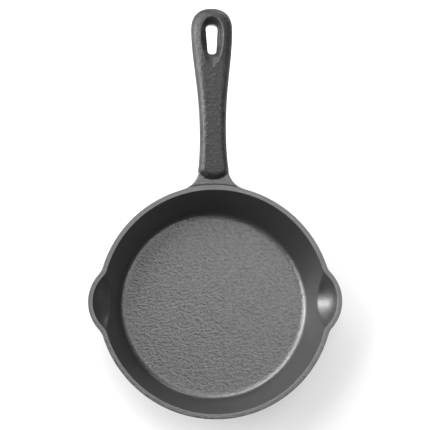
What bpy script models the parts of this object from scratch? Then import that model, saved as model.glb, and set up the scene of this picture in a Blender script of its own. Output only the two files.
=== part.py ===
"""Cast iron skillet with two pouring lips and a flat cast handle.

The skillet is one casting. It is modelled as three solids that meet along the two lines
that show across the root of its handle: the pan, the flared web that joins the pan, and
the grip that stands above the web. The origin is the centre of the pan's underside, +Z is
up and the handle points along +Y. Lengths are in metres.
"""

import math

import bmesh
import bpy

# Pan
RIM_RADIUS = 0.080  # outer edge of the rim, away from the pouring lips
RIM_WIDTH = 0.0035  # flat land along the top of the wall
RIM_EDGE = 0.0005  # rounding of the land's two edges
PAN_HEIGHT = 0.032
FLOOR_THICKNESS = 0.004
WALL_LEAN = math.radians(24.4)  # lean of the wall away from upright
FLOOR_FILLET = 0.0067  # between the floor and the wall, inside
BASE_CORNER = 0.007  # between the underside and the wall, outside

# Pouring lips, one at each side
LIP_REACH = 0.0066  # how far a lip stands out from the rim
LIP_RADIUS = 0.0278  # radius of the lip's nose, seen from above
LIP_BLEND = 0.003  # size of the hollow blend between the nose and the rim
SCOOP_DROP = 0.013  # from the rim down to where the scoop starts in the wall
BULGE_DROP = 0.022  # from the rim down to where the lip starts outside

# Handle
WEB_LENGTH = 0.0049  # bare web between the rim and the grip's nose
WEB_DROP = 0.0004  # how far the web's top lies below the rim
WEB_FLARE = 0.015  # radius of the web's hollow sides
WEB_TOE = 0.0008  # thickness left where the flare runs out on the rim
GRIP_STEP = 0.0044  # how far the grip's top stands above the web
GRIP_RISE = math.radians(3.1)  # slope of the grip up towards its free end
SHOULDER_RADIUS = 0.0055  # rounding along the grip's upper edges
HEEL_RADIUS = 0.003  # rounding along the grip's lower edges
ROOT_BAND = 0.0025  # upright side between shoulder and heel, at the nose
HANG_BAND = 0.0005  # the same at the free end
NOSE_MARGIN = 0.0008  # how much wider the nose turns than its shoulder
ROOT_HALF_WIDTH = 0.0101
WAIST_HALF_WIDTH = 0.0091
HANG_HALF_WIDTH = 0.0143
WAIST_FROM_RIM = 0.0342  # from the rim to the narrowest part of the grip
HANG_FROM_RIM = 0.1077  # from the rim to the widest part of the hang end
HANG_END_LENGTH = 0.0153  # from the widest part to the tip
HANG_END_FULLNESS = 2.4  # 2 is an ellipse, more is squarer
SWELL_DELAY = 1.25  # more than 1 keeps the grip slim further from the pan

# Hanging slot and the pointed recess round it
RECESS_END_LAND = 0.0064  # from the recess to the tip
RECESS_LENGTH = 0.0354
RECESS_HALF_WIDTH = 0.00805
RECESS_ROUND_LENGTH = 0.0126  # from its widest part to its round end
RECESS_DEPTH = 0.0045
RECESS_POINT = 0.7  # less than 1 makes the point blunter
SLOT_END_LAND = 0.0040  # from the slot to the round end of the recess
SLOT_LENGTH = 0.0217
SLOT_HALF_WIDTH = 0.0043  # near the tip
SLOT_NARROW_HALF_WIDTH = 0.0029  # near the pan
SLOT_END_FULLNESS = 2.6

JOINT_GAP = 0.0003  # between neighbouring solids
CUT_OVERRUN = 0.002  # how far a cutter runs past the solid that it cuts

# Facets
PAN_FACETS = 120
FILLET_FACETS = 4
SCOOP_ROWS = 5
BULGE_ROWS = 4
NOSE_FACETS = 9
SIDE_FACETS = 16
TIP_FACETS = 9
SHOULDER_FACETS = 5
HEEL_FACETS = 3
SLOT_FACETS = 44
FLARE_FACETS = 10
WEB_ARC_FACETS = 16
SMOOTH_ANGLE = math.radians(30)


def clear_scene():
    for old in list(bpy.data.objects):
        bpy.data.objects.remove(old, do_unlink=True)


def lean_offset(drop):
    """How much the wall's radius shrinks at this distance below the rim."""
    return drop * math.tan(WALL_LEAN)


def smooth_max(first, second, blend):
    """The larger value, with a rounded change from one to the other."""
    overlap = max(blend - abs(first - second), 0.0) / blend
    return max(first, second) + blend * overlap * overlap / 4


def lip_stand_out(angle, inset):
    """How far the rim's outline, moved in by inset, stands out of its circle at this angle."""
    across = min(abs(math.sin(angle)), 1.0)
    along = abs(math.cos(angle))
    circle = RIM_RADIUS - inset
    nose = LIP_RADIUS - inset
    centre = RIM_RADIUS + LIP_REACH - LIP_RADIUS
    reach = nose * nose - (centre * across) ** 2
    if reach <= 0:
        return 0.0
    outline = centre * along + math.sqrt(reach)
    return smooth_max(circle, outline, LIP_BLEND) - circle


def scoop_share(drop):
    """Share of the lip's reach that the inner wall has at this distance below the rim."""
    part = max(1 - drop / SCOOP_DROP, 0.0)
    return 1 - (1 - part) ** 2


def bulge_share(drop):
    """Share of the lip's reach that the outer wall has at this distance below the rim."""
    return max(1 - drop / BULGE_DROP, 0.0)


def corner_arc(radius_at_floor, height, size, facets):
    """Arc (radius, height) from a level floor to the leaning wall that starts at a corner."""
    turn = math.pi / 2 - WALL_LEAN
    reach = size * math.tan(turn / 2)
    points = []
    for step in range(facets + 1):
        part = turn * step / facets
        out = radius_at_floor - reach + size * math.sin(part)
        points.append((out, height + size * (1 - math.cos(part))))
    return points


def pan_profile():
    """Points (radius, height, inset, share) from the floor's edge over the rim to the base.

    Inset says which outline the lips follow at that point, and share how much of it.
    """
    inner_foot = RIM_RADIUS - RIM_WIDTH - lean_offset(PAN_HEIGHT - FLOOR_THICKNESS)
    outer_foot = RIM_RADIUS - lean_offset(PAN_HEIGHT)
    profile = []
    for out, height in corner_arc(inner_foot, FLOOR_THICKNESS, FLOOR_FILLET, FILLET_FACETS):
        profile.append((out, height, RIM_WIDTH, 0.0))
    for row in range(SCOOP_ROWS + 1):
        drop = SCOOP_DROP + (RIM_EDGE - SCOOP_DROP) * row / SCOOP_ROWS
        out = RIM_RADIUS - RIM_WIDTH - lean_offset(drop)
        profile.append((out, PAN_HEIGHT - drop, RIM_WIDTH, scoop_share(drop)))
    profile.append((RIM_RADIUS - RIM_WIDTH + RIM_EDGE, PAN_HEIGHT, RIM_WIDTH, 1.0))
    profile.append((RIM_RADIUS - RIM_EDGE, PAN_HEIGHT, 0.0, 1.0))
    for row in range(BULGE_ROWS + 1):
        drop = RIM_EDGE + (BULGE_DROP - RIM_EDGE) * row / BULGE_ROWS
        out = RIM_RADIUS - lean_offset(drop)
        profile.append((out, PAN_HEIGHT - drop, 0.0, bulge_share(drop)))
    corner = corner_arc(outer_foot, 0.0, BASE_CORNER, FILLET_FACETS)
    for out, height in reversed(corner):
        profile.append((out, height, 0.0, 0.0))
    return profile


def add_ring(mesh, points):
    return [mesh.verts.new(point) for point in points]


def join_rings(mesh, lower, upper):
    """Faces between two closed rings, facing out when the rings turn anticlockwise."""
    count = len(lower)
    for i in range(count):
        after = (i + 1) % count
        mesh.faces.new((lower[i], lower[after], upper[after], upper[i]))


def finish_object(name, mesh, material):
    """Turns the bmesh into a smooth-shaded object with its own material."""
    bmesh.ops.recalc_face_normals(mesh, faces=mesh.faces)
    data = bpy.data.meshes.new(name)
    mesh.to_mesh(data)
    mesh.free()
    data.shade_smooth()
    data.set_sharp_from_angle(angle=SMOOTH_ANGLE)
    part = bpy.data.objects.new(name, data)
    bpy.context.scene.collection.objects.link(part)
    if material is not None:
        data.materials.append(material)
    return part


def make_cutter(name, mesh):
    cutter = finish_object(name, mesh, None)
    cutter.hide_render = True
    cutter.display_type = "WIRE"
    return cutter


def cut_away(part, cutter):
    cut = part.modifiers.new(cutter.name, "BOOLEAN")
    cut.operation = "DIFFERENCE"
    cut.solver = "EXACT"
    cut.object = cutter


def iron(name, colour, roughness, metallic):
    material = bpy.data.materials.new(name)
    material.use_nodes = True
    shader = material.node_tree.nodes["Principled BSDF"]
    shader.inputs["Base Color"].default_value = (*colour, 1.0)
    shader.inputs["Roughness"].default_value = roughness
    shader.inputs["Metallic"].default_value = metallic
    return material


def pan_iron():
    return iron("pan_iron", (0.075, 0.075, 0.077), 0.55, 0.4)


def web_iron():
    return iron("web_iron", (0.080, 0.080, 0.082), 0.55, 0.4)


def grip_iron():
    return iron("grip_iron", (0.060, 0.060, 0.062), 0.50, 0.4)


def make_pan_bowl():
    """Floor, leaning wall, rim and both pouring lips, as one closed ring of profiles."""
    mesh = bmesh.new()
    rings = []
    for out, height, inset, share in pan_profile():
        points = []
        for facet in range(PAN_FACETS):
            angle = math.tau * facet / PAN_FACETS
            radius = out + share * lip_stand_out(angle, inset)
            points.append((radius * math.cos(angle), radius * math.sin(angle), height))
        rings.append(add_ring(mesh, points))
    for lower, upper in zip(rings, rings[1:]):
        join_rings(mesh, lower, upper)
    mesh.faces.new(rings[0])
    mesh.faces.new(rings[-1])
    return finish_object("pan_bowl", mesh, pan_iron())


def web_top():
    return PAN_HEIGHT - WEB_DROP


def nose_front():
    """Distance from the pan's axis to the front of the grip's nose."""
    return RIM_RADIUS + WEB_LENGTH


def nose_length():
    """Length of the half ellipse in front, just long enough for the shoulder to turn round it."""
    return math.sqrt(ROOT_HALF_WIDTH * (SHOULDER_RADIUS + NOSE_MARGIN))


def side_start():
    """Distance from the pan's axis to where the grip's side starts."""
    return nose_front() + nose_length()


def grip_top(along):
    """Height of the grip's flat top at this distance from the pan's axis."""
    return web_top() + GRIP_STEP + (along - side_start()) * math.tan(GRIP_RISE)


def tip():
    return RIM_RADIUS + HANG_FROM_RIM + HANG_END_LENGTH


def grip_bottom(along):
    part = (along - nose_front()) / (tip() - nose_front())
    band = ROOT_BAND + part * (HANG_BAND - ROOT_BAND)
    return grip_top(along) - SHOULDER_RADIUS - band - HEEL_RADIUS


def side_half_width(along):
    """Half the grip's width between its nose and the widest part of its hang end."""
    waist = RIM_RADIUS + WAIST_FROM_RIM
    if along < waist:
        part = (waist - along) / (waist - side_start())
        return WAIST_HALF_WIDTH + (ROOT_HALF_WIDTH - WAIST_HALF_WIDTH) * part * part
    part = (along - waist) / (HANG_FROM_RIM - WAIST_FROM_RIM)
    part = min(part, 1.0) ** SWELL_DELAY
    swell = part * part * (3 - 2 * part)
    return WAIST_HALF_WIDTH + (HANG_HALF_WIDTH - WAIST_HALF_WIDTH) * swell


def half_outline():
    """Right side of the grip's outline (across, along), from the nose's middle to the tip."""
    points = []
    for step in range(NOSE_FACETS + 1):
        turn = math.pi / 2 * step / NOSE_FACETS
        across = ROOT_HALF_WIDTH * math.sin(turn)
        points.append((across, side_start() - nose_length() * math.cos(turn)))
    widest = RIM_RADIUS + HANG_FROM_RIM
    for step in range(1, SIDE_FACETS + 1):
        along = side_start() + (widest - side_start()) * step / SIDE_FACETS
        points.append((side_half_width(along), along))
    power = 2 / HANG_END_FULLNESS
    for step in range(1, TIP_FACETS + 1):
        turn = math.pi / 2 * step / TIP_FACETS
        across = HANG_HALF_WIDTH * max(math.cos(turn), 0.0) ** power
        points.append((across, widest + HANG_END_LENGTH * math.sin(turn) ** power))
    points[-1] = (0.0, tip())
    return points


def grip_outline():
    """The whole outline, anticlockwise."""
    right = half_outline()
    left = [(-across, along) for across, along in reversed(right[1:-1])]
    return right + left


def moved_in(outline, distance):
    """The outline moved towards its inside, each point along its own normal."""
    count = len(outline)
    moved = []
    for i, (across, along) in enumerate(outline):
        before = outline[i - 1]
        after = outline[(i + 1) % count]
        run = (after[0] - before[0], after[1] - before[1])
        length = math.hypot(*run)
        moved.append((across - distance * run[1] / length, along + distance * run[0] / length))
    return moved


def make_grip_block():
    """The grip as a plate with rounded edges, before its slot is cut."""
    outline = grip_outline()
    rings = []
    mesh = bmesh.new()
    for step in range(HEEL_FACETS + 1):
        turn = math.pi / 2 * step / HEEL_FACETS
        ring = moved_in(outline, HEEL_RADIUS * (1 - math.sin(turn)))
        lift = HEEL_RADIUS * (1 - math.cos(turn))
        points = [(x, y, grip_bottom(y0) + lift) for (x, y), (_, y0) in zip(ring, outline)]
        rings.append(add_ring(mesh, points))
    for step in range(SHOULDER_FACETS + 1):
        turn = math.pi / 2 * step / SHOULDER_FACETS
        ring = moved_in(outline, SHOULDER_RADIUS * (1 - math.cos(turn)))
        drop = SHOULDER_RADIUS * (1 - math.sin(turn))
        points = [(x, y, grip_top(y) - drop) for x, y in ring]
        rings.append(add_ring(mesh, points))
    for lower, upper in zip(rings, rings[1:]):
        join_rings(mesh, lower, upper)
    mesh.faces.new(rings[0])
    mesh.faces.new(rings[-1])
    return finish_object("handle_grip", mesh, grip_iron())


def recess_half_width(along):
    end = tip() - RECESS_END_LAND
    widest = end - RECESS_ROUND_LENGTH
    if along > widest:
        part = min((along - widest) / RECESS_ROUND_LENGTH, 1.0)
        return RECESS_HALF_WIDTH * math.sqrt(1 - part * part)
    part = max(along - (end - RECESS_LENGTH), 0.0) / (RECESS_LENGTH - RECESS_ROUND_LENGTH)
    return RECESS_HALF_WIDTH * math.sin(math.pi / 2 * part**RECESS_POINT)


def slot_end():
    return tip() - RECESS_END_LAND - SLOT_END_LAND


def slot_half_width(along):
    start = slot_end() - SLOT_LENGTH
    part = min(max((along - start) / SLOT_LENGTH, 0.0), 1.0)
    width = SLOT_NARROW_HALF_WIDTH + (SLOT_HALF_WIDTH - SLOT_NARROW_HALF_WIDTH) * part
    from_end = min(along - start, slot_end() - along) / width
    rounding = 1 - min(max(1 - from_end, 0.0), 1.0) ** SLOT_END_FULLNESS
    return width * rounding ** (1 / SLOT_END_FULLNESS)


def opening_outline(start, end, half_width):
    """Closed outline of an opening between two distances along the handle."""
    points = []
    for facet in range(SLOT_FACETS):
        turn = math.tau * facet / SLOT_FACETS
        along = (start + end) / 2 - (end - start) / 2 * math.cos(turn)
        side = 0.0 if facet in (0, SLOT_FACETS // 2) else math.copysign(1.0, math.sin(turn))
        points.append((side * half_width(along), along))
    return points


def make_slot_cutter():
    """The recess as a funnel down to the slot, and the slot on through the grip."""
    recess_end = tip() - RECESS_END_LAND
    recess = opening_outline(recess_end - RECESS_LENGTH, recess_end, recess_half_width)
    slot = opening_outline(slot_end() - SLOT_LENGTH, slot_end(), slot_half_width)
    spread = CUT_OVERRUN / RECESS_DEPTH
    mesh = bmesh.new()
    above = []
    floor = []
    below = []
    for (wide_x, wide_y), (x, y) in zip(recess, slot):
        out_x = wide_x + (wide_x - x) * spread
        out_y = wide_y + (wide_y - y) * spread
        above.append((out_x, out_y, grip_top(wide_y) + CUT_OVERRUN))
        floor.append((x, y, grip_top(y) - RECESS_DEPTH))
        below.append((x, y, grip_bottom(y) - CUT_OVERRUN))
    rings = [add_ring(mesh, ring) for ring in (below, floor, above)]
    for lower, upper in zip(rings, rings[1:]):
        join_rings(mesh, lower, upper)
    mesh.faces.new(rings[0])
    mesh.faces.new(rings[-1])
    return make_cutter("slot_cutter", mesh)


def make_lap_cutter():
    """The space that the web takes under the grip's nose."""
    reach = 2 * ROOT_HALF_WIDTH
    mesh = bmesh.new()
    rings = []
    for height in (0.0, web_top() + JOINT_GAP):
        corners = (
            (-reach, 0.0, height),
            (reach, 0.0, height),
            (reach, side_start(), height),
            (-reach, side_start(), height),
        )
        rings.append(add_ring(mesh, corners))
    join_rings(mesh, rings[0], rings[1])
    mesh.faces.new(rings[0])
    mesh.faces.new(rings[1])
    return make_cutter("lap_cutter", mesh)


def make_handle_grip():
    grip = make_grip_block()
    cut_away(grip, make_slot_cutter())
    cut_away(grip, make_lap_cutter())
    return grip


def flare_points():
    """Right side of the web (across, along), from the grip to where it runs out on the rim."""
    centre_x = ROOT_HALF_WIDTH + WEB_FLARE
    circle = RIM_RADIUS + WEB_FLARE
    centre_y = math.sqrt(circle * circle - centre_x * centre_x)
    touch = RIM_RADIUS + JOINT_GAP + WEB_TOE
    # The flare's angle where it is one toe's thickness away from the rim
    spread = (circle * circle + WEB_FLARE**2 - touch * touch) / (2 * circle * WEB_FLARE)
    towards_pan = math.atan2(-centre_y, -centre_x)
    end_angle = towards_pan - math.acos(spread)
    start_angle = -math.pi
    points = []
    for step in range(FLARE_FACETS + 1):
        angle = start_angle + (end_angle - start_angle) * step / FLARE_FACETS
        across = centre_x + WEB_FLARE * math.cos(angle)
        points.append((across, centre_y + WEB_FLARE * math.sin(angle)))
    return points


def web_ring(height):
    """Outline of the web at this height: along the pan's wall, up the flares, across the end."""
    wall = RIM_RADIUS - lean_offset(PAN_HEIGHT - height) + JOINT_GAP
    flare = flare_points()
    end = side_start() - JOINT_GAP
    right = [point for point in flare if point[1] < end]
    right.reverse()
    right.append((ROOT_HALF_WIDTH, end))
    spread = math.atan2(right[0][0], right[0][1])
    arc = []
    for step in range(WEB_ARC_FACETS + 1):
        angle = -spread + 2 * spread * step / WEB_ARC_FACETS
        arc.append((wall * math.sin(angle), wall * math.cos(angle)))
    left = [(-across, along) for across, along in reversed(right)]
    return [(across, along, height) for across, along in arc + right + left]


def make_handle_web():
    """The flat gusset between the pan's wall and the grip."""
    mesh = bmesh.new()
    lower = add_ring(mesh, web_ring(grip_bottom(side_start())))
    upper = add_ring(mesh, web_ring(web_top()))
    join_rings(mesh, lower, upper)
    mesh.faces.new(lower)
    mesh.faces.new(upper)
    return finish_object("handle_web", mesh, web_iron())


def main():
    clear_scene()
    make_pan_bowl()
    make_handle_web()
    make_handle_grip()


main()
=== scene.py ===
"""Looks of the cast iron skillet: a bowl with two pouring lips and a handle, seen as one casting."""

import copy
import math

import bpy
import numpy as np
from mathutils import Matrix, Vector


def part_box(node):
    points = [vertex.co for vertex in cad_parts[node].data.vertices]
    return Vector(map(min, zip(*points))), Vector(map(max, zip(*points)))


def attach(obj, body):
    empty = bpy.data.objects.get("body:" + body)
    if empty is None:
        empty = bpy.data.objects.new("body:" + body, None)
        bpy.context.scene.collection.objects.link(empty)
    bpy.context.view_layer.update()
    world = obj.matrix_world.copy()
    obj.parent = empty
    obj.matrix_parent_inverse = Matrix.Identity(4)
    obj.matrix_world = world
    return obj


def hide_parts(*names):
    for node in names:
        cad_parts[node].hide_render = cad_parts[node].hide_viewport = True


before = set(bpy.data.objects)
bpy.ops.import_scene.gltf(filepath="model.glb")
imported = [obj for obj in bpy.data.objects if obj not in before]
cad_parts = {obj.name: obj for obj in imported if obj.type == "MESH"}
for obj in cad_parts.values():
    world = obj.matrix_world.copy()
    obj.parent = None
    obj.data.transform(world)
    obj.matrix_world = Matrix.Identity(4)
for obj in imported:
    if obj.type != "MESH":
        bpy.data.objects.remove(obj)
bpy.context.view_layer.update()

# Sizes that the frame gives, in metres
PAN_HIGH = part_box("pan_bowl")[1]
WEB_LOW, WEB_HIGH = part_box("handle_web")
GRIP_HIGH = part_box("handle_grip")[1]
CLEARANCE = 0.00003  # keeps the outermost and highest points inside the frame

# Pan
WALL_LEAN = math.radians(24.4)
RIM_WIDTH = 0.0035
RIM_ROUNDING = 0.00045
RIM_CHAMFER = 0.0005
FLOOR_THICKNESS = 0.004
FLOOR_FILLET = 0.0067
BASE_CORNER = 0.007
LIP_RADIUS = 0.0278
LIP_BLEND = 0.0028
SCOOP_DROP = 0.013
BULGE_DROP = 0.022
RIM_RADIUS = PAN_HIGH.y + RIM_CHAMFER * math.tan(WALL_LEAN)
PAN_HEIGHT = PAN_HIGH.z
LIP_REACH = (PAN_HIGH.x - PAN_HIGH.y) / (1 - RIM_CHAMFER / BULGE_DROP) - CLEARANCE

# Handle
WEB_TOP = WEB_HIGH.z
WEB_BOTTOM = WEB_LOW.z
WEB_FLARE = 0.015
WEB_TOP_EDGE = 0.0007
WEB_BOTTOM_EDGE = 0.002
NOSE_FRONT = RIM_RADIUS + 0.0049
NOSE_CREEP = 0.0008  # how far the nose's rounded foot reaches past its node, over the web
NOSE_MARGIN = 0.0008
NOSE_LENGTH = 0.0062
NOSE_FULLNESS = 1.8
GRIP_STEP = 0.0044
GRIP_RISE = math.radians(3.1)
SHOULDER_RADIUS = 0.0055
SHOULDER_ROOT_WIDTH = 0.0046
SHOULDER_MIDDLE_WIDTH = 0.0055
SHOULDER_HANG_WIDTH = 0.0092
SHOULDER_ROOT_DROP = 0.0047
DOME_LENGTH = 0.024
HEEL_RADIUS = 0.003
ROOT_BAND = 0.0025
HANG_BAND = 0.0005
ROOT_HALF_WIDTH = 0.0101
WAIST_HALF_WIDTH = 0.0091
HANG_HALF_WIDTH = GRIP_HIGH.x
WAIST = RIM_RADIUS + 0.0342
TIP = GRIP_HIGH.y
HANG_END_LENGTH = 0.0153
HANG_END_FULLNESS = 2.4
SWELL_DELAY = 1.25

# Hanging slot and its pointed recess
RECESS_END = TIP - 0.0064
RECESS_LENGTH = 0.0354
RECESS_HALF_WIDTH = 0.00805
RECESS_ROUND_LENGTH = 0.0126
RECESS_DEPTH = 0.0045
RECESS_POINT = 0.7
SLOT_END = RECESS_END - 0.0047
SLOT_LENGTH = 0.0210
SLOT_HALF_WIDTH = 0.0043
SLOT_NARROW_HALF_WIDTH = 0.0029
SLOT_END_FULLNESS = 2.6
RECESS_LIP_ROUNDING = 0.0007
RECESS_SOFTENING = 0.0016

# How the handle runs into the pan
NOSE_FILLET = 0.0014
RIM_FILLET = 0.0012
WALL_FILLET = 0.006
GROOVE_RADIUS = 0.0008
GROOVE_HEIGHT = 0.0003
GROOVE_SOFTNESS = 0.0003
SKIN = 0.0001  # how far the handle's root lies under the pan's surface
ROOT_DEPTH = 0.0014  # how far the handle's root reaches into the pan's wall

# Where the edges are rubbed and where the floor's painted light ends
RIM_INNER_WEAR = 0.0008
RIM_OUTER_WEAR = 0.0010
RIM_WEAR_DROP = 0.0012
FLOOR_FADE = 0.0015
HANDLE_WEAR_GAIN = 0.0007
HANDLE_WEAR_START = 0.15

# Iron: oiled skin over pebbled casting, in metres and linear colours
PEBBLE = 0.0010
GRAIN_STRETCH = 0.75
RELIEF = 0.00025
GRIP_RELIEF = 0.00032
WALL_SMOOTHNESS = 0.8
SKIN_DARK = (0.013, 0.013, 0.013)
SKIN_LIGHT = (0.018, 0.018, 0.018)
SKIN_LOW = (0.009, 0.009, 0.009)
# The floor's lighter colour below is painted light: it stands in for the brighter light that the flat
# floor catches.
FLOOR_PAINTED_LIGHT_SKIN = (0.048, 0.048, 0.047)
WORN_IRON = (0.035, 0.035, 0.034)
FLOOR_PAINTED_LIGHT_SHARE = 0.8
SPECKLE_SHARE = 0.9
ROUGHNESS = 0.32
ROUGHNESS_CHANGE = 0.06
PAN_SHINE = 1.75
# The grip's lower shine below is painted shade: it makes the grip's top reflect less and look darker than
# the pan's floor.
HANDLE_SHADED_SHINE = 1.37

# Fineness of the finished meshes
PAN_TURNS = 640
PAN_ROW = 0.0008
PAN_FLAT_ROW = 0.006
CORNER_POINTS = 10
NET_STEP = 0.00036


def put(tree, kind, inputs=None, **settings):
    """Adds a node, sets it up and connects or fills its inputs."""
    node = tree.nodes.new(kind)
    for name, value in settings.items():
        setattr(node, name, value)
    for name, value in (inputs or {}).items():
        if isinstance(value, bpy.types.NodeSocket):
            tree.links.new(value, node.inputs[name])
        else:
            node.inputs[name].default_value = value
    return node


def calc(tree, operation, *values):
    """A Math node on sockets or plain numbers."""
    return put(tree, "ShaderNodeMath", dict(enumerate(values)), operation=operation).outputs[0]


def add_inputs(tree, sizes):
    """Named float inputs on a node tree, with their defaults."""
    for name, value in sizes.items():
        socket = tree.interface.new_socket(name, in_out="INPUT", socket_type="NodeSocketFloat")
        socket.default_value = value


# ---------------------------------------------------------------- pan


def profile_curve(tree, size):
    """The pan's half section, floor centre to base centre, as a filleted curve (radius, height)."""
    slope = calc(tree, "TANGENT", size["Wall Lean"])
    wall = calc(tree, "SUBTRACT", size["Height"], size["Floor Thickness"])
    inner_rim = calc(tree, "SUBTRACT", size["Rim Radius"], size["Rim Width"])
    inner_foot = calc(tree, "SUBTRACT", inner_rim, calc(tree, "MULTIPLY", wall, slope))
    outer_run = calc(tree, "MULTIPLY", size["Height"], slope)
    outer_foot = calc(tree, "SUBTRACT", size["Rim Radius"], outer_run)
    corners = (
        (0.0, size["Floor Thickness"], 0.0),
        (inner_foot, size["Floor Thickness"], size["Floor Fillet"]),
        (inner_rim, size["Height"], size["Rim Rounding"]),
        (size["Rim Radius"], size["Height"], size["Rim Rounding"]),
        (outer_foot, 0.0, size["Base Corner"]),
        (0.0, 0.0, 0.0),
    )
    number = put(tree, "GeometryNodeInputIndex").outputs[0]
    places = put(tree, "GeometryNodeIndexSwitch", {"Index": number}, data_type="VECTOR")
    fillets = put(tree, "GeometryNodeIndexSwitch", {"Index": number}, data_type="FLOAT")
    for _ in range(len(corners) - 2):
        places.index_switch_items.new()
        fillets.index_switch_items.new()
    for i, (radius, height, fillet) in enumerate(corners):
        point = put(tree, "ShaderNodeCombineXYZ", {"X": radius, "Y": height}).outputs[0]
        tree.links.new(point, places.inputs[str(i)])
        if isinstance(fillet, float):
            fillets.inputs[str(i)].default_value = fillet
        else:
            tree.links.new(fillet, fillets.inputs[str(i)])
    line = put(tree, "GeometryNodeMeshLine", {"Count": len(corners)})
    laid = put(tree, "GeometryNodeSetPosition", {0: line.outputs[0], "Position": places.outputs[0]})
    curve = put(tree, "GeometryNodeMeshToCurve", {0: laid.outputs[0]})
    rounded = put(
        tree,
        "GeometryNodeFilletCurve",
        {0: curve.outputs[0], "Radius": fillets.outputs[0], "Count": CORNER_POINTS},
        mode="POLY",
    )
    here = put(tree, "GeometryNodeInputPosition").outputs[0]
    after = put(
        tree,
        "GeometryNodeFieldAtIndex",
        {"Index": calc(tree, "ADD", number, 1.0)},
        data_type="FLOAT_VECTOR",
    )
    tree.links.new(here, after.inputs["Value"])
    span = put(
        tree, "ShaderNodeVectorMath", {0: here, 1: after.outputs[0]}, operation="DISTANCE"
    ).outputs["Value"]
    level = put(tree, "ShaderNodeSeparateXYZ", {0: here}).outputs[1]
    level_after = put(tree, "ShaderNodeSeparateXYZ", {0: after.outputs[0]}).outputs[1]
    rise = calc(tree, "ABSOLUTE", calc(tree, "SUBTRACT", level_after, level))
    flat = calc(tree, "LESS_THAN", rise, 1e-6)
    spacing = calc(tree, "MULTIPLY_ADD", flat, size["Flat Row Spacing"], size["Row Spacing"])
    cuts = calc(tree, "FLOOR", calc(tree, "DIVIDE", span, spacing))
    return put(
        tree, "GeometryNodeSubdivideCurve", {0: rounded.outputs[0], "Cuts": cuts}
    ).outputs[0]


def lip_outline(tree, size, angle, inset):
    """How far the lips' outline, moved in by inset, stands out of the rim's circle."""
    across = calc(tree, "ABSOLUTE", calc(tree, "SINE", angle))
    along = calc(tree, "ABSOLUTE", calc(tree, "COSINE", angle))
    circle = calc(tree, "SUBTRACT", size["Rim Radius"], inset)
    nose = calc(tree, "SUBTRACT", size["Lip Radius"], inset)
    crest = calc(tree, "ADD", size["Rim Radius"], size["Lip Reach"])
    centre = calc(tree, "SUBTRACT", crest, size["Lip Radius"])
    aside = calc(tree, "MULTIPLY", centre, across)
    room = calc(
        tree, "SUBTRACT", calc(tree, "MULTIPLY", nose, nose), calc(tree, "MULTIPLY", aside, aside)
    )
    half_chord = calc(tree, "SQRT", calc(tree, "MAXIMUM", room, 0.0))
    outline = calc(tree, "ADD", calc(tree, "MULTIPLY", centre, along), half_chord)
    blended = calc(tree, "SMOOTH_MAX", circle, outline, size["Lip Blend"])
    return calc(tree, "SUBTRACT", blended, circle)


def faded(tree, distance, reach):
    """1 where distance is 0, falling to 0 at reach."""
    share = calc(tree, "SUBTRACT", 1.0, calc(tree, "DIVIDE", distance, reach))
    return calc(tree, "MAXIMUM", share, 0.0)


def marked(tree, geometry, name, value):
    """The geometry with a number kept at each point under a name, for the iron to read."""
    return put(
        tree,
        "GeometryNodeStoreNamedAttribute",
        {0: geometry, "Name": name, "Value": value},
        data_type="FLOAT",
        domain="POINT",
    ).outputs[0]


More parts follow.
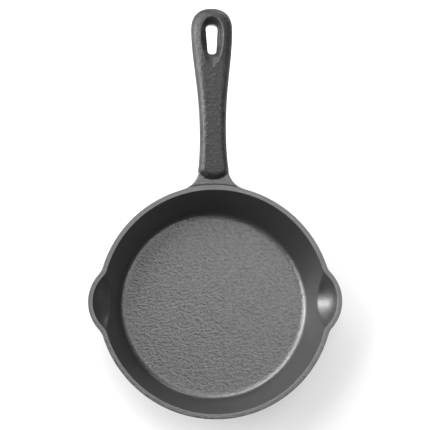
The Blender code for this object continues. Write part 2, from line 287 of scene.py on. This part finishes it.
def pan_tree():
    """Geometry nodes that turn the half section about the upright axis and draw out the lips."""
    tree = bpy.data.node_groups.new("pan_turned_with_lips", "GeometryNodeTree")
    sizes = {
        "Rim Radius": RIM_RADIUS,
        "Rim Width": RIM_WIDTH,
        "Rim Rounding": RIM_ROUNDING,
        "Height": PAN_HEIGHT,
        "Floor Thickness": FLOOR_THICKNESS,
        "Wall Lean": WALL_LEAN,
        "Floor Fillet": FLOOR_FILLET,
        "Base Corner": BASE_CORNER,
        "Lip Reach": LIP_REACH,
        "Lip Radius": LIP_RADIUS,
        "Lip Blend": LIP_BLEND,
        "Scoop Drop": SCOOP_DROP,
        "Bulge Drop": BULGE_DROP,
        "Row Spacing": PAN_ROW,
        "Flat Row Spacing": PAN_FLAT_ROW,
    }
    add_inputs(tree, sizes)
    tree.interface.new_socket("Turns", in_out="INPUT", socket_type="NodeSocketInt")
    tree.interface.new_socket("Iron", in_out="INPUT", socket_type="NodeSocketMaterial")
    tree.interface.new_socket("Mesh", in_out="OUTPUT", socket_type="NodeSocketGeometry")
    size = put(tree, "NodeGroupInput").outputs
    profile = profile_curve(tree, size)
    rows = put(tree, "GeometryNodeAttributeDomainSize", {0: profile}, component="CURVE")
    row_count = rows.outputs["Point Count"]
    columns = calc(tree, "ADD", size["Turns"], 1.0)
    grid = put(
        tree,
        "GeometryNodeMeshGrid",
        {"Size X": 1.0, "Size Y": 1.0, "Vertices X": columns, "Vertices Y": row_count},
    )
    here = put(tree, "GeometryNodeInputPosition").outputs[0]
    flat = put(tree, "ShaderNodeSeparateXYZ", {0: here})
    angle = calc(tree, "MULTIPLY", calc(tree, "ADD", flat.outputs[0], 0.5), math.tau)
    last_row = calc(tree, "SUBTRACT", row_count, 1.0)
    row = calc(tree, "MULTIPLY", calc(tree, "ADD", flat.outputs[1], 0.5), last_row)
    sample = put(
        tree,
        "GeometryNodeSampleIndex",
        {0: profile, "Value": here, "Index": calc(tree, "ROUND", row)},
        data_type="FLOAT_VECTOR",
    )
    section = put(tree, "ShaderNodeSeparateXYZ", {0: sample.outputs[0]})
    radius, height = section.outputs[0], section.outputs[1]
    drop = calc(tree, "SUBTRACT", size["Height"], height)
    slope = calc(tree, "TANGENT", size["Wall Lean"])
    outer = calc(tree, "SUBTRACT", size["Rim Radius"], calc(tree, "MULTIPLY", drop, slope))
    depth = calc(tree, "MAXIMUM", calc(tree, "SUBTRACT", outer, radius), 0.0)
    inset = calc(tree, "MINIMUM", depth, size["Rim Width"])
    inside = calc(tree, "DIVIDE", inset, size["Rim Width"])
    stand = lip_outline(tree, size, angle, inset)
    steepness = calc(tree, "DIVIDE", size["Scoop Drop"], size["Lip Reach"])
    scoop_drop = calc(tree, "MAXIMUM", calc(tree, "MULTIPLY", stand, steepness), 1e-5)
    unscooped = calc(tree, "SUBTRACT", 1.0, faded(tree, drop, scoop_drop))
    scoop = calc(tree, "SUBTRACT", 1.0, calc(tree, "MULTIPLY", unscooped, unscooped))
    bulge = faded(tree, drop, size["Bulge Drop"])
    change = calc(tree, "MULTIPLY", calc(tree, "SUBTRACT", scoop, bulge), inside)
    share = calc(tree, "ADD", bulge, change)
    reach = calc(tree, "ADD", radius, calc(tree, "MULTIPLY", stand, share))
    place = put(
        tree,
        "ShaderNodeCombineXYZ",
        {
            "X": calc(tree, "MULTIPLY", reach, calc(tree, "COSINE", angle)),
            "Y": calc(tree, "MULTIPLY", reach, calc(tree, "SINE", angle)),
            "Z": height,
        },
    )
    edge = calc(
        tree,
        "MAXIMUM",
        faded(tree, inset, RIM_OUTER_WEAR),
        faded(tree, calc(tree, "SUBTRACT", size["Rim Width"], inset), RIM_INNER_WEAR),
    )
    ridge = calc(tree, "MULTIPLY", edge, faded(tree, drop, RIM_WEAR_DROP))
    worn = marked(tree, grid.outputs[0], "ridge", ridge)
    above_floor = calc(tree, "SUBTRACT", height, size["Floor Thickness"])
    on_floor = faded(tree, calc(tree, "MAXIMUM", above_floor, 0.0), FLOOR_FADE)
    off_floor = calc(tree, "SUBTRACT", 1.0, on_floor)
    smooth_wall = marked(tree, worn, "wall", calc(tree, "MULTIPLY", inside, off_floor))
    # The floor mark below says where the iron paints the pan's floor lighter, as painted light.
    under_floor = calc(tree, "MULTIPLY", size["Floor Thickness"], 0.9)
    upper_side = calc(tree, "GREATER_THAN", height, under_floor)
    floor_painted_light_mesh = marked(tree, smooth_wall, "floor", calc(tree, "MULTIPLY", on_floor, upper_side))
    formed = put(
        tree, "GeometryNodeSetPosition", {0: floor_painted_light_mesh, "Position": place.outputs[0]}
    )
    closed = put(tree, "GeometryNodeMergeByDistance", {0: formed.outputs[0], "Distance": 1e-6})
    outward = put(tree, "GeometryNodeFlipFaces", {0: closed.outputs[0]})
    smooth = put(tree, "GeometryNodeSetShadeSmooth", {0: outward.outputs[0]})
    real = put(tree, "GeometryNodeRealizeInstances", {0: smooth.outputs[0]})
    painted = put(tree, "GeometryNodeSetMaterial", {0: real.outputs[0], "Material": size["Iron"]})
    put(tree, "NodeGroupOutput", {0: painted.outputs[0]})
    return tree


def plain_mesh(tree, name, values):
    """Runs a geometry tree with its inputs set and keeps the result as a plain mesh object."""
    host = bpy.data.objects.new(name + "_host", bpy.data.meshes.new(name + "_host"))
    bpy.context.scene.collection.objects.link(host)
    nodes = host.modifiers.new("shape", "NODES")
    nodes.node_group = tree
    for item in tree.interface.items_tree:
        if item.in_out == "INPUT" and item.name in values:
            nodes[item.identifier] = values[item.name]
    graph = bpy.context.evaluated_depsgraph_get()
    mesh = bpy.data.meshes.new_from_object(host.evaluated_get(graph), depsgraph=graph)
    mesh.name = name
    bpy.data.objects.remove(host)
    piece = bpy.data.objects.new(name, mesh)
    bpy.context.scene.collection.objects.link(piece)
    return piece


def make_pan(iron):
    """The pan, turned by its geometry tree, with both pouring lips."""
    pan = plain_mesh(pan_tree(), "skillet_pan", {"Turns": PAN_TURNS, "Iron": iron})
    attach(pan, "root")
    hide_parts("pan_bowl")
    return pan


# ---------------------------------------------------------------- handle


def nose_length():
    """Length of the grip nose that its rounded shoulder needs."""
    return math.sqrt(ROOT_HALF_WIDTH * (SHOULDER_RADIUS + NOSE_MARGIN))


def side_start():
    """Where the nose ends and the grip's sides start."""
    return NOSE_FRONT + nose_length()


def grip_top(along):
    return WEB_TOP + GRIP_STEP + (along - side_start()) * math.tan(GRIP_RISE)


def grip_bottom(along):
    part = (along - NOSE_FRONT) / (TIP - NOSE_FRONT)
    band = ROOT_BAND + part * (HANG_BAND - ROOT_BAND)
    return grip_top(along) - SHOULDER_RADIUS - band - HEEL_RADIUS


def shoulder_width(along):
    """Width of the rounded shoulder seen from above: narrow at the root, a dome at the hang end."""
    part = np.clip((along - side_start()) / (RECESS_END - RECESS_LENGTH - side_start()), 0, 1)
    grip = SHOULDER_ROOT_WIDTH + (SHOULDER_MIDDLE_WIDTH - SHOULDER_ROOT_WIDTH) * part
    dome = np.clip((along - (RECESS_END - RECESS_LENGTH)) / DOME_LENGTH + 0.35, 0, 1)
    dome = dome * dome * (3 - 2 * dome)
    return grip + (SHOULDER_HANG_WIDTH - grip) * dome


def shoulder_drop(along):
    part = np.clip((along - NOSE_FRONT) / (WAIST - NOSE_FRONT), 0, 1)
    return SHOULDER_ROOT_DROP + (SHOULDER_RADIUS - SHOULDER_ROOT_DROP) * part


def side_half_width(along):
    """Half the grip's width from its nose to the widest part of its hang end."""
    root = np.clip((WAIST - along) / (WAIST - side_start()), 0, 1)
    part = np.clip((along - WAIST) / (TIP - HANG_END_LENGTH - WAIST), 0, 1) ** SWELL_DELAY
    swell = part * part * (3 - 2 * part)
    narrow = WAIST_HALF_WIDTH + (ROOT_HALF_WIDTH - WAIST_HALF_WIDTH) * root**2
    return narrow + (HANG_HALF_WIDTH - WAIST_HALF_WIDTH) * swell


def mirrored(across, along):
    """Closed outline from its right-hand side, given from the near end to the far end."""
    right = np.column_stack((across, along))
    left = right[::-1] * (-1, 1)
    return np.concatenate((right, left))


def grip_outline():
    turn = np.linspace(0, math.pi / 2, 40)
    power = 2 / NOSE_FULLNESS
    foot = NOSE_FRONT - NOSE_CREEP + NOSE_LENGTH
    nose_along = foot - NOSE_LENGTH * np.maximum(np.cos(turn), 0) ** power
    nose = (ROOT_HALF_WIDTH * np.sin(turn) ** power, nose_along)
    widest = TIP - HANG_END_LENGTH
    side = np.linspace(side_start(), widest, 120)[1:-1]
    power = 2 / HANG_END_FULLNESS
    end = (
        HANG_HALF_WIDTH * np.maximum(np.cos(turn), 0) ** power,
        widest + HANG_END_LENGTH * np.sin(turn) ** power,
    )
    across = np.concatenate((nose[0], side_half_width(side), end[0]))
    return mirrored(across, np.concatenate((nose[1], side, end[1])))


def web_outline():
    """The web from inside the pan's wall to inside the grip, between its two hollow flares."""
    centre_x = ROOT_HALF_WIDTH + WEB_FLARE
    centre_y = math.sqrt((RIM_RADIUS + WEB_FLARE) ** 2 - centre_x**2)
    towards_pan = math.atan2(-centre_y, -centre_x)
    turn = np.linspace(towards_pan, -math.pi, 60)
    across = centre_x + WEB_FLARE * np.cos(turn)
    along = centre_y + WEB_FLARE * np.sin(turn)
    inside_wall = RIM_RADIUS - RIM_WIDTH
    across = np.concatenate(([across[0]], across, [ROOT_HALF_WIDTH * 0.8, 0]))
    along = np.concatenate(([inside_wall * 0.92], along, [side_start() + 0.003, side_start() + 0.006]))
    return mirrored(across, along)


def recess_outline():
    """Pointed at the pan's end and round at the tip's end."""
    start = RECESS_END - RECESS_LENGTH
    widest = RECESS_END - RECESS_ROUND_LENGTH
    part = np.linspace(0, 1, 60) ** 2
    pointed = RECESS_HALF_WIDTH * np.sin(math.pi / 2 * part**RECESS_POINT)
    turn = np.linspace(0, math.pi / 2, 40)[1:]
    across = np.concatenate((pointed, RECESS_HALF_WIDTH * np.cos(turn)))
    along = np.concatenate((start + (widest - start) * part, widest + RECESS_ROUND_LENGTH * np.sin(turn)))
    return mirrored(across, along)


def slot_outline():
    part = (1 - np.cos(np.linspace(0, math.pi, 90))) / 2
    width = SLOT_NARROW_HALF_WIDTH + (SLOT_HALF_WIDTH - SLOT_NARROW_HALF_WIDTH) * part
    from_end = np.minimum(part, 1 - part) * SLOT_LENGTH / width
    rounding = 1 - np.clip(1 - from_end, 0, 1) ** SLOT_END_FULLNESS
    across = width * rounding ** (1 / SLOT_END_FULLNESS)
    return mirrored(across, SLOT_END - SLOT_LENGTH + SLOT_LENGTH * part)


class Plan:
    """Signed distance to a flat outline, negative inside, looked up from a fine map."""

    step = 0.0003

    def __init__(self, outline, low, high):
        self.low = low
        xs = np.arange(low[0], high[0], self.step)
        ys = np.arange(low[1], high[1], self.step)
        x, y = np.meshgrid(xs, ys, indexing="ij")
        nearest = np.full(x.shape, np.inf)
        inside = np.zeros(x.shape, bool)
        for (ax, ay), (bx, by) in zip(outline, np.roll(outline, -1, axis=0)):
            length2 = (bx - ax) ** 2 + (by - ay) ** 2
            if length2 == 0:
                continue
            part = np.clip(((x - ax) * (bx - ax) + (y - ay) * (by - ay)) / length2, 0, 1)
            gap = (x - ax - part * (bx - ax)) ** 2 + (y - ay - part * (by - ay)) ** 2
            nearest = np.minimum(nearest, gap)
            if ay != by:
                crosses = (ay > y) != (by > y)
                inside ^= crosses & (x < ax + (y - ay) * (bx - ax) / (by - ay))
        self.map = np.sqrt(nearest) * np.where(inside, -1.0, 1.0)

    def softened(self, size):
        """The same map with its creases rounded off."""
        soft = copy.copy(self)
        soft.map = self.map.copy()
        for _ in range(int(2 * (size / self.step) ** 2)):
            inner = soft.map[1:-1, 1:-1]
            around = soft.map[2:, 1:-1] + soft.map[:-2, 1:-1]
            around = around + soft.map[1:-1, 2:] + soft.map[1:-1, :-2]
            inner += (around / 4 - inner) * 0.99
        return soft

    def __call__(self, x, y):
        u = np.clip((x - self.low[0]) / self.step, 0, self.map.shape[0] - 1.001)
        v = np.clip((y - self.low[1]) / self.step, 0, self.map.shape[1] - 1.001)
        i = u.astype(int)
        j = v.astype(int)
        u = u - i
        v = v - j
        near = self.map[i, j] * (1 - u) + self.map[i + 1, j] * u
        far = self.map[i, j + 1] * (1 - u) + self.map[i + 1, j + 1] * u
        return near * (1 - v) + far * v


def smooth_min(a, b, size):
    """The smaller of two distances, with a fillet of about this size where they cross."""
    overlap = np.maximum(size - np.abs(a - b), 0) / size
    return np.minimum(a, b) - overlap**2 * size / 4


def smooth_max(a, b, size):
    return -smooth_min(-a, -b, size)


def rounded_side(plan, level, width, drop):
    """Distance to a rounded corner between an outline's side and a level face."""
    a = plan + width
    b = level * width / drop + width
    out = np.hypot(np.maximum(a, 0), np.maximum(b, 0))
    return np.minimum(np.maximum(a, b), 0) + out - width


class HandleShape:
    """Signed distance to the handle: grip, web, their fillets, groove, recess and slot."""

    low = np.array((-0.0265, RIM_RADIUS - 0.012, WEB_BOTTOM - 0.0075))
    high = np.array((0.0265, TIP + 0.001, GRIP_HIGH.z + 0.001))

    def __init__(self):
        self.grip = Plan(grip_outline(), self.low, self.high)
        self.web = Plan(web_outline(), self.low, self.high)
        self.recess = Plan(recess_outline(), self.low, self.high)
        self.ramp = self.recess.softened(RECESS_SOFTENING)
        self.slot = Plan(slot_outline(), self.low, self.high)

    def __call__(self, x, y, z):
        top = grip_top(y) - CLEARANCE
        plan = self.grip(x, y)
        upper = rounded_side(plan, z - top, shoulder_width(y), shoulder_drop(y))
        lower = rounded_side(plan, grip_bottom(y) - z, HEEL_RADIUS, HEEL_RADIUS)
        grip = np.maximum(upper, lower)
        plan = self.web(x, y)
        upper = rounded_side(plan, z - WEB_TOP, WEB_TOP_EDGE, WEB_TOP_EDGE)
        lower = rounded_side(plan, WEB_BOTTOM - z, WEB_BOTTOM_EDGE, WEB_BOTTOM_EDGE)
        web = np.maximum(upper, lower)
        solid = smooth_min(grip, web, NOSE_FILLET)
        from_axis = np.hypot(x, y)
        wall_radius = RIM_RADIUS - (PAN_HEIGHT - z) * math.tan(WALL_LEAN)
        wall = (from_axis - wall_radius) * math.cos(WALL_LEAN)
        under_rim = np.maximum(wall + SKIN, z - (WEB_TOP - 2 * WEB_TOP_EDGE))
        deep = np.clip((WEB_TOP - z) / (WEB_TOP - WEB_BOTTOM), 0, 1)
        solid = smooth_min(solid, under_rim, RIM_FILLET + (WALL_FILLET - RIM_FILLET) * deep**2)
        groove = np.hypot(from_axis - RIM_RADIUS, z - WEB_TOP - GROOVE_HEIGHT) - GROOVE_RADIUS
        solid = smooth_max(solid, -groove, GROOVE_SOFTNESS)
        level = np.clip((z - top) / RECESS_DEPTH + 1, 0, 1)
        recess = self.recess(x, y) * level + self.ramp(x, y) * (1 - level)
        hole = self.slot(x, y) * (1 - level) + recess * level
        solid = smooth_max(solid, -hole, RECESS_LIP_ROUNDING)
        edge = NET_STEP * 2
        trim = np.maximum(-(wall + ROOT_DEPTH), self.low[2] + edge - z)
        trim = np.maximum(trim, np.abs(x) - self.high[0] + edge)
        return np.maximum(solid, trim)


def slope_of(shape, points, reach=NET_STEP / 2):
    """Gradient of a distance at each point, and the sum of its second differences."""
    x, y, z = points.T
    middle = shape(x, y, z)
    gradient = np.zeros_like(points)
    bend = np.zeros(len(points))
    for axis in range(3):
        step = np.zeros(3)
        step[axis] = reach
        ahead = shape(*(points + step).T)
        behind = shape(*(points - step).T)
        gradient[:, axis] = (ahead - behind) / (2 * reach)
        bend += (ahead + behind - 2 * middle) / reach**2
    return middle, gradient, bend


def settle(shape, points, rounds):
    """Moves points onto the surface along its gradient."""
    for _ in range(rounds):
        value, gradient, _ = slope_of(shape, points)
        size2 = np.maximum((gradient**2).sum(axis=1), 0.2)
        points = points - gradient * (value / size2)[:, None]
    return points


def surface_net(shape):
    """Points and outward quads of the surface where the distance is 0."""
    axes = [np.arange(lo, hi, NET_STEP) for lo, hi in zip(shape.low, shape.high)]
    x, y = np.meshgrid(axes[0], axes[1], indexing="ij")
    value = shape(x[:, :, None], y[:, :, None], axes[2][None, None, :])
    inside = value < 0
    cells = tuple(n - 1 for n in value.shape)
    total = np.zeros(cells + (3,))
    count = np.zeros(cells)
    for axis in range(3):
        others = [a for a in range(3) if a != axis]
        for side_a in (0, 1):
            for side_b in (0, 1):
                start = [slice(0, n) for n in cells]
                start[others[0]] = slice(side_a, side_a + cells[others[0]])
                start[others[1]] = slice(side_b, side_b + cells[others[1]])
                stop = list(start)
                stop[axis] = slice(1, 1 + cells[axis])
                first = value[tuple(start)]
                second = value[tuple(stop)]
                crosses = (first < 0) != (second < 0)
                part = np.where(crosses, first / np.where(crosses, first - second, 1), 0)
                count += crosses
                total[..., axis] += part
                total[..., others[0]] += crosses * side_a
                total[..., others[1]] += crosses * side_b
    used = count > 0
    number = np.full(cells, -1)
    number[used] = np.arange(used.sum())
    corner = np.argwhere(used)
    points = shape.low + NET_STEP * (corner + total[used] / count[used][:, None])
    quads = []
    for axis in range(3):
        b, c = (axis + 1) % 3, (axis + 2) % 3
        start = [slice(1, n) for n in cells]
        start[axis] = slice(0, cells[axis])
        stop = list(start)
        stop[axis] = slice(1, 1 + cells[axis])
        here = inside[tuple(start)]
        there = inside[tuple(stop)]
        offset = np.array([1, 1, 1])
        offset[axis] = 0
        at = np.argwhere(here != there) + offset
        leaving = here[here != there]
        back_b = np.eye(3, dtype=int)[b]
        back_c = np.eye(3, dtype=int)[c]
        ring = [at - back_b - back_c, at - back_c, at, at - back_b]
        quad = np.stack([number[tuple(corner_.T)] for corner_ in ring], axis=1)
        quad[~leaving] = quad[~leaving][:, ::-1]
        quads.append(quad)
    return points, np.concatenate(quads)


def relaxed(points, quads):
    """Each point moved to the middle of its neighbours."""
    total = np.zeros_like(points)
    count = np.zeros(len(points))
    for i in range(4):
        for j in (i - 1, (i + 1) % 4):
            np.add.at(total, quads[:, i], points[quads[:, j]])
            np.add.at(count, quads[:, i], 1)
    return total / count[:, None]


def make_handle(grip_iron, web_iron):
    """The web and the grip as one skin; the web keeps the pan's finish up to the grip's foot, and the
    grip's finish shines less, as painted shade.
    """
    shape = HandleShape()
    points, quads = surface_net(shape)
    points = settle(shape, points, 3)
    for _ in range(3):
        points = settle(shape, relaxed(points, quads), 2)
    _, _, bend = slope_of(shape, points, NET_STEP)
    mesh = bpy.data.meshes.new("skillet_handle")
    mesh.from_pydata(points.tolist(), [], quads.tolist())
    worn = np.clip(bend * HANDLE_WEAR_GAIN - HANDLE_WEAR_START, 0, 1)
    ridge = mesh.attributes.new("ridge", "FLOAT", "POINT")
    ridge.data.foreach_set("value", worn.astype(np.float32))
    mesh.shade_smooth()
    mesh.materials.append(grip_iron)
    mesh.materials.append(web_iron)
    middle = points[quads].mean(axis=1)
    outside_grip = shape.grip(middle[:, 0], middle[:, 1]) > -NET_STEP
    low = middle[:, 2] < WEB_TOP + NET_STEP
    on_web = low & (outside_grip | (middle[:, 1] < NOSE_FRONT)) & (middle[:, 1] < side_start())
    mesh.polygons.foreach_set("material_index", on_web.astype(np.int32))
    handle = bpy.data.objects.new("skillet_handle", mesh)
    bpy.context.scene.collection.objects.link(handle)
    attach(handle, "root")
    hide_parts("handle_web", "handle_grip")
    return handle


# ---------------------------------------------------------------- iron


def shader_group(name, inputs, outputs):
    """An empty shader group with these sockets, and its input and output ends."""
    tree = bpy.data.node_groups.new(name, "ShaderNodeTree")
    for socket, default in inputs.items():
        kind = "NodeSocketVector" if default is None else "NodeSocketFloat"
        new = tree.interface.new_socket(socket, in_out="INPUT", socket_type=kind)
        if default is not None:
            new.default_value = default
    for socket in outputs:
        tree.interface.new_socket(socket, in_out="OUTPUT", socket_type="NodeSocketFloat")
    return tree, put(tree, "NodeGroupInput").outputs, put(tree, "NodeGroupOutput").inputs


def noise(tree, place, size, detail, stretch=(1.0, 1.0, 1.0)):
    """A noise whose blotches are about this many metres across, from 0 to 1."""
    scaled = put(
        tree,
        "ShaderNodeVectorMath",
        {0: place, 1: tuple(part / size for part in stretch)},
        operation="MULTIPLY",
    ).outputs[0]
    texture = put(tree, "ShaderNodeTexNoise", {"Vector": scaled, "Scale": 1.0, "Detail": detail})
    return texture.outputs[0]


def spread(tree, value, low, high):
    """Stretches low..high to 0..1 and holds it there."""
    return put(
        tree, "ShaderNodeMapRange", {"Value": value, "From Min": low, "From Max": high}
    ).outputs[0]


def cast_grain_group():
    """The pebbled skin that a sand mould leaves: rounded pebbles with sand between them."""
    tree, given, made = shader_group(
        "cast_grain", {"Position": None, "Smoothness": 0.0}, ("Height", "Speckle")
    )
    place = given["Position"]
    scaled = put(
        tree,
        "ShaderNodeVectorMath",
        {0: place, 1: (GRAIN_STRETCH / PEBBLE, 1 / PEBBLE, 1 / PEBBLE)},
        operation="MULTIPLY",
    ).outputs[0]
    cells = put(
        tree,
        "ShaderNodeTexVoronoi",
        {"Vector": scaled, "Scale": 1.0, "Smoothness": 0.7},
        feature="SMOOTH_F1",
    )
    pebbles = spread(tree, cells.outputs["Distance"], 0.75, 0.15)
    swell = spread(tree, noise(tree, place, PEBBLE * 1.9, 1.0, (GRAIN_STRETCH, 1, 1)), 0.3, 0.7)
    sand = spread(tree, noise(tree, place, PEBBLE * 0.35, 2.0), 0.25, 0.75)
    coarse = calc(tree, "ADD", calc(tree, "MULTIPLY", pebbles, 0.45), calc(tree, "MULTIPLY", swell, 0.55))
    rough = calc(tree, "ADD", coarse, calc(tree, "MULTIPLY", sand, 0.16))
    keep = calc(tree, "SUBTRACT", 1.0, given["Smoothness"])
    tree.links.new(calc(tree, "MULTIPLY", rough, keep), made["Height"])
    low_spots = spread(tree, rough, 0.75, 0.25)
    tree.links.new(calc(tree, "MULTIPLY", low_spots, keep), made["Speckle"])
    return tree


def patina_group():
    """Slow changes over the oiled skin: a tone, and a sheen that changes on its own."""
    tree, given, made = shader_group("patina", {"Position": None}, ("Tone", "Sheen"))
    place = given["Position"]
    broad = spread(tree, noise(tree, place, 0.034, 3.0), 0.3, 0.7)
    near = spread(tree, noise(tree, place, 0.007, 2.0), 0.3, 0.7)
    tone = calc(tree, "ADD", calc(tree, "MULTIPLY", broad, 0.65), calc(tree, "MULTIPLY", near, 0.35))
    tree.links.new(tone, made["Tone"])
    tree.links.new(spread(tree, noise(tree, place, 0.012, 3.0), 0.3, 0.7), made["Sheen"])
    return tree


def edge_wear_group():
    """Where handling has rubbed the oiled skin off the ridges, in broken patches."""
    tree, given, made = shader_group("edge_wear", {"Position": None, "Ridge": 0.0}, ("Wear",))
    place = given["Position"]
    patches = spread(tree, noise(tree, place, 0.005, 3.0), 0.3, 0.65)
    nicks = spread(tree, noise(tree, place, 0.0012, 2.0), 0.35, 0.65)
    broken = calc(tree, "ADD", calc(tree, "MULTIPLY", patches, 0.7), calc(tree, "MULTIPLY", nicks, 0.5))
    tree.links.new(calc(tree, "MULTIPLY", broken, given["Ridge"]), made["Wear"])
    return tree


def iron_material(name, groups, relief, shine, on_pan=False):
    """Oiled cast iron: dark, faintly shiny, pebbled, and a little brighter on its worn ridges."""
    iron = bpy.data.materials.new(name)
    iron.use_nodes = True
    tree = iron.node_tree
    shader = tree.nodes["Principled BSDF"]
    place = put(tree, "ShaderNodeTexCoord").outputs["Object"]
    ridge = put(tree, "ShaderNodeAttribute", attribute_name="ridge").outputs["Fac"]
    grain = put(tree, "ShaderNodeGroup", {}, node_tree=groups["grain"])
    tree.links.new(place, grain.inputs["Position"])
    if on_pan:
        wall = put(tree, "ShaderNodeAttribute", attribute_name="wall").outputs["Fac"]
        tree.links.new(calc(tree, "MULTIPLY", wall, WALL_SMOOTHNESS), grain.inputs["Smoothness"])
    patina = put(tree, "ShaderNodeGroup", {}, node_tree=groups["patina"])
    tree.links.new(place, patina.inputs["Position"])
    wear = put(tree, "ShaderNodeGroup", {}, node_tree=groups["wear"])
    tree.links.new(place, wear.inputs["Position"])
    tree.links.new(ridge, wear.inputs["Ridge"])
    skin = put(
        tree,
        "ShaderNodeMix",
        {0: patina.outputs["Tone"], 6: (*SKIN_DARK, 1), 7: (*SKIN_LIGHT, 1)},
        data_type="RGBA",
    ).outputs[2]
    # Painted light: the pan's floor is painted lighter where it is marked.
    if on_pan:
        floor = put(tree, "ShaderNodeAttribute", attribute_name="floor").outputs["Fac"]
        skin = put(
            tree,
            "ShaderNodeMix",
            {0: calc(tree, "MULTIPLY", floor, FLOOR_PAINTED_LIGHT_SHARE), 6: skin, 7: (*FLOOR_PAINTED_LIGHT_SKIN, 1)},
            data_type="RGBA",
        ).outputs[2]
    speckled = put(
        tree,
        "ShaderNodeMix",
        {
            0: calc(tree, "MULTIPLY", grain.outputs["Speckle"], SPECKLE_SHARE),
            6: skin,
            7: (*SKIN_LOW, 1),
        },
        data_type="RGBA",
    ).outputs[2]
    worn = put(
        tree,
        "ShaderNodeMix",
        {0: wear.outputs["Wear"], 6: speckled, 7: (*WORN_IRON, 1)},
        data_type="RGBA",
    ).outputs[2]
    tree.links.new(worn, shader.inputs["Base Color"])
    rough = calc(tree, "MULTIPLY_ADD", patina.outputs["Sheen"], ROUGHNESS_CHANGE, ROUGHNESS)
    tree.links.new(rough, shader.inputs["Roughness"])
    shader.inputs["IOR"].default_value = shine
    bump = put(
        tree,
        "ShaderNodeBump",
        {"Height": grain.outputs["Height"], "Distance": relief, "Strength": 1.0},
    )
    tree.links.new(bump.outputs[0], shader.inputs["Normal"])
    return iron


# ---------------------------------------------------------------- studio

CAMERA_TARGET = Vector((0.0005, 0.0590, PAN_HEIGHT))
CAMERA_DISTANCE = 1.2945
CAMERA_LEAN_LEFT = 0.0633
CAMERA_LEAN_NEAR = 0.1705
CAMERA_TURN = 0.0156
CAMERA_LENS = 158.98
PAPER_HALF_SIDE = 6.0
PAPER_LEVEL = -0.0002
PAPER_TURN_UP = 0.9
PAPER_TONE = 0.42
PAPER_GLOW = 0.42  # the paper is lit a little from below, as on a light table


def make_camera():
    """A long lens above the pan, leaning a little to the left and near side."""
    data = bpy.data.cameras.new("camera")
    data.lens = CAMERA_LENS
    camera = bpy.data.objects.new("camera", data)
    bpy.context.scene.collection.objects.link(camera)
    back = Vector((-CAMERA_LEAN_LEFT, -CAMERA_LEAN_NEAR, 1)).normalized()
    up = Vector((math.sin(CAMERA_TURN), math.cos(CAMERA_TURN), 0))
    right = up.cross(back).normalized()
    turned = Matrix((right, back.cross(right), back)).transposed()
    camera.matrix_world = Matrix.Translation(CAMERA_TARGET + back * CAMERA_DISTANCE) @ turned.to_4x4()
    bpy.context.scene.camera = camera


def make_floor():
    """A paper sheet whose far edges are turned up, so that a low view has paper behind it too."""
    side = PAPER_HALF_SIDE
    mesh = bpy.data.meshes.new("floor")
    corners = [(-side, -side), (side, -side), (side, side), (-side, side)]
    points = [(x, y, z) for z in (PAPER_LEVEL, PAPER_TURN_UP) for x, y in corners]
    turned_up = [(i, i + 4, (i + 1) % 4 + 4, (i + 1) % 4) for i in range(4)]
    mesh.from_pydata(points, [], [(0, 1, 2, 3), *turned_up])
    paint = bpy.data.materials.new("floor_paper")
    paint.use_nodes = True
    shader = paint.node_tree.nodes["Principled BSDF"]
    shader.inputs["Base Color"].default_value = (PAPER_TONE, PAPER_TONE, PAPER_TONE, 1)
    shader.inputs["Roughness"].default_value = 0.9
    shader.inputs["Specular IOR Level"].default_value = 0.0
    shader.inputs["Emission Color"].default_value = (1, 1, 1, 1)
    shader.inputs["Emission Strength"].default_value = PAPER_GLOW
    mesh.materials.append(paint)
    floor = bpy.data.objects.new("floor", mesh)
    bpy.context.scene.collection.objects.link(floor)


def add_softbox(
    name, azimuth, elevation, power, size=0.5, aim=(0.0, 0.0, 0.0), distance=1.2, spread=180
):
    """A square soft light that faces its aim; azimuth 0 is +X and 90 is +Y."""
    data = bpy.data.lights.new(name, "AREA")
    data.shape = "SQUARE"
    data.size = size
    data.energy = power
    data.spread = math.radians(spread)
    light = bpy.data.objects.new(name, data)
    bpy.context.scene.collection.objects.link(light)
    a, e = math.radians(azimuth), math.radians(elevation)
    out = Vector((math.cos(a) * math.cos(e), math.sin(a) * math.cos(e), math.sin(e)))
    light.location = Vector(aim) + out * distance
    light.rotation_mode = "QUATERNION"
    light.rotation_quaternion = out.to_track_quat("Z", "Y")
    return light


def make_light():
    """Soft boxes round the pan, and a narrow one for the handle."""
    world = bpy.data.worlds.new("studio")
    world.use_nodes = True
    world.node_tree.nodes["Background"].inputs["Strength"].default_value = 0.0
    bpy.context.scene.world = world
    add_softbox("key_upper_left", 148, 36, 15, 0.95)
    add_softbox("left", 180, 36, 3.4, 0.7)
    add_softbox("left_low", 168, 12, 8.5)
    add_softbox("behind_left", 120, 36, 6)
    add_softbox("behind", 95, 40, 7, 0.6)
    add_softbox("behind_low", 65, 8, 7)
    add_softbox("right", 0, 52, 3.2)
    add_softbox("front_right", 315, 52, 3.2)
    add_softbox("overhead", 60, 77, 3.9)
    add_softbox("handle_strip", 178, 38, 0.30, 0.28, (0.0, 0.165, 0.04), 0.45, spread=34)


def main():
    """Makes the finishes, the two pieces and the studio."""
    groups = {"grain": cast_grain_group(), "patina": patina_group(), "wear": edge_wear_group()}
    pan_iron = iron_material("pan_iron", groups, RELIEF, PAN_SHINE, on_pan=True)
    make_pan(pan_iron)
    # The grip's finish is the pan's with less shine, as painted shade.
    make_handle(iron_material("grip_iron", groups, GRIP_RELIEF, HANDLE_SHADED_SHINE), pan_iron)
    make_floor()
    make_camera()
    make_light()
    bpy.context.scene.view_settings.view_transform = "Standard"


main()
